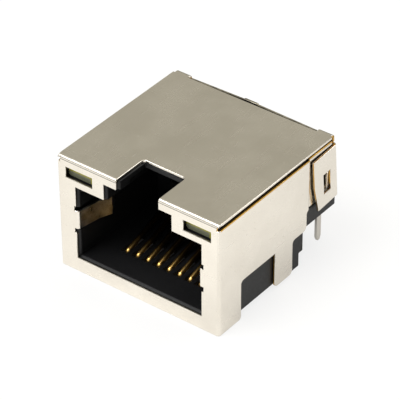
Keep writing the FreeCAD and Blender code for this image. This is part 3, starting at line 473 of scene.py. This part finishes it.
# Shell
shell = {
    "gauge": 0.2 * mm,
    "edgeRound": 0.045 * mm,
    "slack": 0.004 * mm,  # within this a corner of the solid counts as found
    "probe": 0.001 * mm,  # how far under a face its metal is felt for
    "sheared": 1.6,  # gauges of metal behind a sheared face, at least
    "tilted": 0.5,  # share of a normal along an axis from which a face lies across it
    "facing": 0.3,  # the same, from which a face looks that way
    "frontBend": 0.3 * mm,  # depth of the front bend
    "cornerSide": 7.38 * mm,  # the bend's outer ends lie beyond this
    "cornerBehind": 0.04 * mm,  # and reach this far behind it
    "joggleSide": 6.9 * mm,  # the walls' joggled parts lie beyond this
    "joggleReach": 3.5 * mm,  # and within this of zero depth
    "wallTop": 6.37 * mm,
    "wallSide": 7.2 * mm,  # the walls' outer sides lie beyond this
    "wallFront": -13 * mm,
    "wallInside": 7.5 * mm,  # their joggled rear ends within this
    "bareEdge": 0.08 * mm,  # bare metal along the upper outer edge of a side wall
    "ledge": ((7.38, 6.37), (7.47, 6.37), (7.56, 6.13), (7.38, 6.13)),  # section of the ledge over a flap
    "ledgeEnds": (-1.58, 1.30),
    "nibHalf": 1.5 * mm,  # the nib lies within this of the middle
    "nibDepth": 1 * mm,  # and behind this
    "nibBand": (6.55 * mm, 6.72 * mm),  # heights of the nib's outer corners in the solid
    "nibRise": 0.12 * mm,
    "backPlane": 1.43 * mm,  # front face of the back plate
    "foldShare": 0.9,  # of the top's height, where its rear fold begins
    "strapSide": 7.4 * mm,  # the straps' sheared sides lie beyond this
    "strapDepth": 0.95 * mm,  # and behind this
    "strapTurn": (6.57 * mm, 0.3 * mm),  # height of a strap's bend, and how far it reaches up and down
    "fingerSide": 6.6 * mm,  # the ground fingers lie within this
    "fingerDepths": (-12.95 * mm, -4 * mm),
    "fingerTop": 4 * mm,
    "cornerEnd": (7.53 * mm, 7.62 * mm),  # end of the front bend in the solid and here
    "wallEnd": (0.985 * mm, 1.385 * mm),  # rear end of the side walls in the solid and here
    "barbSide": 7 * mm,  # the barbs lie beyond this
    "barbBand": (2.59 * mm, 4.01 * mm),  # heights of the barbs
    "barbMoves": ((0.185 * mm, 0.395 * mm), (0.735 * mm, 1.185 * mm), (0.935 * mm, 1.335 * mm)),
}
plateSlot, brassSlot, shadeSlot, fingerSlot = range(4)
shellLow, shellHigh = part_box("shell")
topSheet = shellHigh.z - shell["gauge"]
bendBack = shellLow.y + shell["frontBend"]


def insidePoint(triangles):  # the middle of the largest triangle
    def size(corners):
        return (corners[1] - corners[0]).cross(corners[2] - corners[0]).length

    return sum(max(triangles, key=size), Vector()) / 3


def shearedFinish(point, normal):  # plate, brass or, inside the front bend, the painted shade of a gap
    side = abs(point.x)
    upright = abs(normal.z) < shell["tilted"]
    corner = side > shell["cornerSide"] and point.y < bendBack + shell["cornerBehind"] and upright
    joggled = side > shell["joggleSide"] and abs(point.y) < shell["joggleReach"] and upright
    if point.z > topSheet or corner or (joggled and normal.y > shell["facing"]):
        return plateSlot
    # painted shade: sheared faces inside the front bend take the dark plate
    if point.y < bendBack and normal.x > -shell["tilted"]:
        return shadeSlot
    return brassSlot


def markCutFaces(mesh):  # a face with much metal behind it is a sheared edge, not a side of the sheet
    tree = BVHTree.FromBMesh(mesh)
    triangles = {}
    for loops in mesh.calc_loop_triangles():
        triangles.setdefault(loops[0].face, []).append([loop.vert.co for loop in loops])
    count = 0
    for face in mesh.faces:
        start = insidePoint(triangles[face]) - face.normal * shell["probe"]
        depth = tree.ray_cast(start, -face.normal)[3]
        if depth is not None and depth > shell["gauge"] * shell["sheared"]:
            face.material_index = shearedFinish(start, face.normal)
            count += 1
    return count


def near(value, target):
    return abs(value - target) < shell["slack"]


def drawOut(mesh):  # front bend to the corners, side walls and barbs back to where the photo shows them
    cornerFrom, cornerTo = shell["cornerEnd"]
    wallFrom, wallTo = shell["wallEnd"]
    barbLow, barbHigh = shell["barbBand"]
    nibLow, nibHigh = shell["nibBand"]
    for vert in mesh.verts:
        across, along, height = vert.co
        side = abs(across)
        if near(side, cornerFrom):
            vert.co.x = math.copysign(cornerTo, across)
        elif side < shell["wallInside"] and near(along, wallFrom):
            vert.co.y = wallTo
        elif side > shell["barbSide"] and barbLow < height < barbHigh:
            for start, end in shell["barbMoves"]:
                if near(along, start):
                    vert.co.y = end
        elif side < shell["nibHalf"] and along > shell["nibDepth"] and nibLow < height < nibHigh:
            vert.co.z += shell["nibRise"]


def addLedges(mesh):  # coined ledge of each side wall over its flap
    for side in (-1, 1):
        ends = [[mesh.verts.new((side * x * mm, y * mm, z * mm)) for x, z in shell["ledge"]]
                for y in shell["ledgeEnds"]]
        made = [mesh.faces.new(ends[0]), mesh.faces.new(ends[1])]
        for index in range(4):
            after = (index + 1) % 4
            made.append(mesh.faces.new((ends[0][index], ends[0][after], ends[1][after], ends[1][index])))
        bmesh.ops.recalc_face_normals(mesh, faces=made)


def splitAt(mesh, height):  # a row of edges round the sheet, so that a finish can end there
    everything = mesh.verts[:] + mesh.edges[:] + mesh.faces[:]
    bmesh.ops.bisect_plane(mesh, geom=everything, plane_co=(0, 0, height), plane_no=(0, 0, 1),
                           dist=making["merge"])


def shadeAndBarePlate(piece):  # places where the plate is bare brass, and where it is painted dark as shade
    bareFrom = shell["wallTop"] - shell["bareEdge"]
    bareTo = shell["wallTop"] + shell["probe"]
    turnHeight, turnReach = shell["strapTurn"]
    fingerFront, fingerBack = shell["fingerDepths"]
    for face in piece.data.polygons:
        across, along, height = face.center
        side = abs(across)
        turned = height > topSheet and face.normal.y > shell["facing"]
        behind = along > shell["backPlane"] and height > shell["foldShare"] * topSheet
        strap = side > shell["strapSide"] and along > shell["strapDepth"]
        strap = strap and abs(height - turnHeight) < turnReach and abs(face.normal.x) > shell["facing"]
        bare = side > shell["wallSide"] and bareFrom < height < bareTo and along > shell["wallFront"]
        finger = side < shell["fingerSide"] and fingerFront < along < fingerBack
        # painted shade along the rear edge of the top and on the back plate's top
        if turned or (behind and face.normal.z > shell["tilted"]):
            face.material_index = shadeSlot
        elif strap or bare:
            face.material_index = brassSlot
        # painted shade on the ground fingers inside the opening
        elif finger and height < shell["fingerTop"]:
            face.material_index = fingerSlot


def makeShell():
    mesh = solidMesh("shell")
    drawOut(mesh)
    splitAt(mesh, topSheet)
    addLedges(mesh)
    splitAt(mesh, shell["wallTop"] - shell["bareEdge"])
    mesh.normal_update()
    cuts = markCutFaces(mesh)
    skins = [materials[name] for name in ("nickel", "cutEdge", "shadedPlate", "finger")]
    piece = newPiece("shell_sheet", mesh, skins)
    breakEdges(piece, shell["edgeRound"], plateSlot)
    shadeAndBarePlate(piece)
    dress(piece, "nickel", "shell")
    print("shell:", cuts, "sheared faces,", len(piece.data.polygons), "faces")


makeShell()

# Housing, contact carrier, lamps and leads
rounds = {
    "housing": 0.05 * mm,
    "contact_carrier": 0.03 * mm,
    "lamp": 0.04 * mm,
    "lead": 0.03 * mm,
}


def makePiece(name, node, slot, material, width):
    piece = newPiece(name, solidMesh(node), (material,))
    breakEdges(piece, width)
    dress(piece, slot, node)
    print(name + ":", len(piece.data.polygons), "faces")


makePiece("housing_moulding", "housing", "housing_black", materials["moulding"], rounds["housing"])
makePiece("carrier_moulding", "contact_carrier", "carrier_black", materials["moulding"],
          rounds["contact_carrier"])
for side in ("left", "right"):
    lamp = "lamp_" + side
    makePiece(lamp + "_lens", lamp, "lamp_clear", makeResin(lamp + "_resin", lamp), rounds["lamp"])
    for lead in (lamp + "_lead_inner", lamp + "_lead_outer"):
        makePiece(lead + "_strip", lead, "tinned", materials["tin"], rounds["lead"])

# Contacts: round drawn wire, filleted and swept by a node tree along each contact's corners
contact = {
    "count": 8,
    "radius": 0.225 * mm,
    "flat": 0.42 * mm,  # the wire's square section in the solid
    "bend": 0.35 * mm,
    "tipBend": 0.23 * mm,  # centre line at the spring's front turn
    "slope": math.radians(16),
    "lowerRun": -2.67 * mm,  # height of the run under the plug
    "riser": -2.535 * mm,  # depth of the wire behind the cavity
    "springEnd": -3.595 * mm,
    "point": 0.2 * mm,  # length of a pointed end
    "pointGirth": 0.6,
    "sides": 20,
    "bendSteps": 10,
}


def makeWireTree():
    tree = bpy.data.node_groups.new("sweptWire", "GeometryNodeTree")
    tree.interface.new_socket("Corners", in_out="INPUT", socket_type="NodeSocketGeometry")
    tree.interface.new_socket("Wire Radius", in_out="INPUT", socket_type="NodeSocketFloat")
    tree.interface.new_socket("Sides", in_out="INPUT", socket_type="NodeSocketInt")
    tree.interface.new_socket("Bend Steps", in_out="INPUT", socket_type="NodeSocketInt")
    tree.interface.new_socket("Material", in_out="INPUT", socket_type="NodeSocketMaterial")
    tree.interface.new_socket("Wire", in_out="OUTPUT", socket_type="NodeSocketGeometry")
    graph = Graph(tree)
    given = graph.node("NodeGroupInput")
    inputs = {socket.name: Signal(graph, socket) for socket in given.outputs if socket.name}
    bend = graph.read("GeometryNodeInputNamedAttribute", {"data_type": "FLOAT"}, {"Name": "bend"})
    girth = graph.read("GeometryNodeInputNamedAttribute", {"data_type": "FLOAT"}, {"Name": "girth"})
    line = graph.read("GeometryNodeMeshToCurve", inputs={0: inputs["Corners"]})
    line = graph.read("GeometryNodeFilletCurve", {"mode": "POLY"},
                      {"Curve": line, "Radius": bend, "Count": inputs["Bend Steps"]})
    ring = graph.read("GeometryNodeCurvePrimitiveCircle",
                      inputs={"Resolution": inputs["Sides"], "Radius": inputs["Wire Radius"]})
    sweep = graph.node("GeometryNodeCurveToMesh",
                       inputs={"Curve": line, "Profile Curve": ring, "Scale": girth, "Fill Caps": True})
    wire = graph.read("GeometryNodeRealizeInstances", inputs={0: Signal(graph, sweep.outputs[0])})
    wire = graph.read("GeometryNodeSetMaterial", inputs={"Geometry": wire, "Material": inputs["Material"]})
    graph.node("NodeGroupOutput", inputs={"Wire": wire})
    return tree


def setInput(modifier, name, value):
    for item in modifier.node_group.interface.items_tree:
        if item.name == name and item.in_out == "INPUT":
            modifier[item.identifier] = value


def contactCorners(node):  # depth, height, bend radius and girth at each corner, from pin to spring end
    low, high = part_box(node)
    row = high.y - contact["radius"]
    bridge = high.z - contact["flat"] / 2
    tipCentre = low.y + contact["flat"] / 2 + contact["tipBend"]
    tipCorner = tipCentre - contact["tipBend"] / math.tan(contact["slope"] / 2)
    rise = math.tan(contact["slope"])
    end = contact["springEnd"]
    bend = contact["bend"]
    lowerRun = contact["lowerRun"]
    lastStep = contact["point"] / 2  # the spring's end is blunter than the pin's
    return (low.x + high.x) / 2, [
        (row, low.z, 0, contact["pointGirth"]),
        (row, low.z + contact["point"], 0, 1),
        (row, bridge, bend, 1),
        (contact["riser"], bridge, bend, 1),
        (contact["riser"], lowerRun, bend, 1),
        (tipCorner, lowerRun, contact["tipBend"], 1),
        (end - lastStep, lowerRun + (end - lastStep - tipCorner) * rise, 0, 1),
        (end, lowerRun + (end - tipCorner) * rise, 0, contact["pointGirth"]),
    ]


def makeContact(number, tree):
    node = "contact_" + str(number)
    across, corners = contactCorners(node)
    data = bpy.data.meshes.new(node + "_wire")
    points = [(across, depth, height) for depth, height, _, _ in corners]
    data.from_pydata(points, [(index, index + 1) for index in range(len(points) - 1)], [])
    for name, column in (("bend", 2), ("girth", 3)):
        attribute = data.attributes.new(name, "FLOAT", "POINT")
        attribute.data.foreach_set("value", [corner[column] for corner in corners])
    piece = bpy.data.objects.new(node + "_wire", data)
    scene.collection.objects.link(piece)
    modifier = piece.modifiers.new("sweptWire", "NODES")
    modifier.node_group = tree
    setInput(modifier, "Wire Radius", contact["radius"])
    setInput(modifier, "Sides", contact["sides"])
    setInput(modifier, "Bend Steps", contact["bendSteps"])
    setInput(modifier, "Material", materials["gold"])
    settle(piece)
    dress(piece, "gold", node)
    return piece


wireTree = makeWireTree()
wires = [makeContact(number + 1, wireTree) for number in range(contact["count"])]
print("contacts:", len(wires), "wires of", len(wires[0].data.polygons), "faces")


# Table, light and camera
studio = {
    "floor": -3.4 * mm,
    "reach": 2.0,
    "paper": (0.86, 0.86, 0.85),
    "seenWhite": 0.80,  # share of plain white in what the camera sees of the table
    "mirroredWhite": 0.43,  # the same in what metal mirrors of it, straight in front
    "dimLeft": 0.075,  # painted shade in the table's mirror image: how much darker it is mirrored off to the left, to the right and behind
    "dimRight": 0.12,
    "dimRear": 0.08,
    "leftFade": (-12, 0),  # places on the table where that sets in, in millimetres
    "rightFade": (3, 8),
    "besideFade": (10, 14),
    "rearFade": (-9, -4),
    "behindFade": (0, 7),
    "room": (0.380, 0.367, 0.313),
    "horizon": (0.12, 0.12, 0.11),
    "horizonFade": (0.08, 0.32),
    "panel": (0.93, 0.92, 0.89),
    "overhead": (2.6, 2.5, 2.3),
    "frontPanel": ((-0.30, -0.75, 0.60), (0.38, 0.82)),  # direction, and how near to it the panel sets in
    "sidePanel": ((0.59, 0.64, 0.49), (0.80, 0.93)),
    "overPanel": ((0, 0.20, 0.98), (0.92, 0.97)),
}


def makeTable():
    mesh = bmesh.new()
    bmesh.ops.create_grid(mesh, x_segments=1, y_segments=1, size=studio["reach"],
                          matrix=Matrix.Translation((0, 0, studio["floor"])))
    material, graph = newMaterial("tablePaper")
    paper = graph.read("ShaderNodeBsdfDiffuse", inputs={"Color": (*studio["paper"], 1)})
    white = graph.read("ShaderNodeEmission", inputs={"Color": (1, 1, 1, 1), "Strength": 1.0})
    light = graph.node("ShaderNodeLightPath")
    seen = Signal(graph, light.outputs["Is Camera Ray"]).most(
        Signal(graph, light.outputs["Is Transmission Ray"]))
    mirrored = Signal(graph, light.outputs["Is Glossy Ray"])
    share = (seen * studio["seenWhite"]).most(mirrored * studio["mirroredWhite"])
    across, along, _ = graph.parts(graph.place())
    # painted shade, seen only in what metal mirrors of the table
    left = (1 - across.step(*studio["leftFade"])) * studio["dimLeft"]
    right = across.step(*studio["rightFade"]) * studio["dimRight"]
    rear = along.step(*studio["behindFade"]).most(1 - across.step(*studio["besideFade"]))
    rear = along.step(*studio["rearFade"]) * rear * studio["dimRear"]
    mirroredShade = mirrored * (left + right + rear)
    surface = graph.read("ShaderNodeMixShader", inputs={0: share, 1: paper, 2: white})
    dark = graph.read("ShaderNodeEmission", inputs={"Color": (0, 0, 0, 1), "Strength": 1.0})
    surface = graph.read("ShaderNodeMixShader", inputs={0: mirroredShade, 1: surface, 2: dark})
    graph.node("ShaderNodeOutputMaterial", inputs={"Surface": surface})
    table = newPiece("table", mesh, (material,))


def makeRoom():
    world = bpy.data.worlds.new("studioRoom")
    scene.world = world
    world.use_nodes = True
    graph = Graph(world.node_tree)
    direction = graph.read("ShaderNodeTexCoord", output="Generated")
    height = graph.parts(direction)[2]

    def towards(panel):
        axis, fade = studio[panel]
        nearness = graph.read("ShaderNodeVectorMath", {"operation": "DOT_PRODUCT"},
                              {0: direction, 1: Vector(axis).normalized()}, output="Value")
        return nearness.step(*fade)

    panels = towards("frontPanel").most(towards("sidePanel"))
    colour = graph.blend(panels, studio["room"], studio["panel"])
    colour = graph.blend(towards("overPanel"), colour, studio["overhead"])
    colour = graph.blend(height.step(*studio["horizonFade"]), studio["horizon"], colour)
    background = graph.read("ShaderNodeBackground", inputs={"Color": colour, "Strength": 1.0})
    graph.node("ShaderNodeOutputWorld", inputs={"Surface": background})


def makeLamp(name, place, size, power):
    data = bpy.data.lights.new(name, "AREA")
    data.shape = "RECTANGLE"
    data.size = size[0]
    data.size_y = size[1]
    data.energy = power
    lamp = bpy.data.objects.new(name, data)
    lamp.location = place
    lamp.rotation_euler = Vector(place).to_track_quat("Z", "Y").to_euler()
    scene.collection.objects.link(lamp)


lamps = {  # place, size and power
    "key": ((-0.10, -0.20, 0.38), (0.20, 0.20), 1.07),
    "side": ((0.34, 0.36, 0.27), (0.22, 0.16), 0.3),
}

camera = {
    "place": (0.10054, -0.13697, 0.12160),
    "forward": (-0.49164664, 0.64295982, -0.58727017),
    "up": (-0.35405378, 0.46855049, 0.80938641),
    "lens": 238.67,
    "sensor": 36.0,
}


def makeCamera():
    data = bpy.data.cameras.new("photoCamera")
    data.lens = camera["lens"]
    data.sensor_width = camera["sensor"]
    data.clip_start = 0.01
    back = -Vector(camera["forward"])
    up = Vector(camera["up"])
    turn = Matrix((up.cross(back), up, back)).transposed().to_4x4()
    viewer = bpy.data.objects.new("photoCamera", data)
    viewer.matrix_world = Matrix.Translation(camera["place"]) @ turn
    scene.collection.objects.link(viewer)
    scene.camera = viewer


makeTable()
makeRoom()
for name, (place, size, power) in lamps.items():
    makeLamp(name, place, size, power)
makeCamera()
scene.view_settings.view_transform = "Standard"
print("studio set")
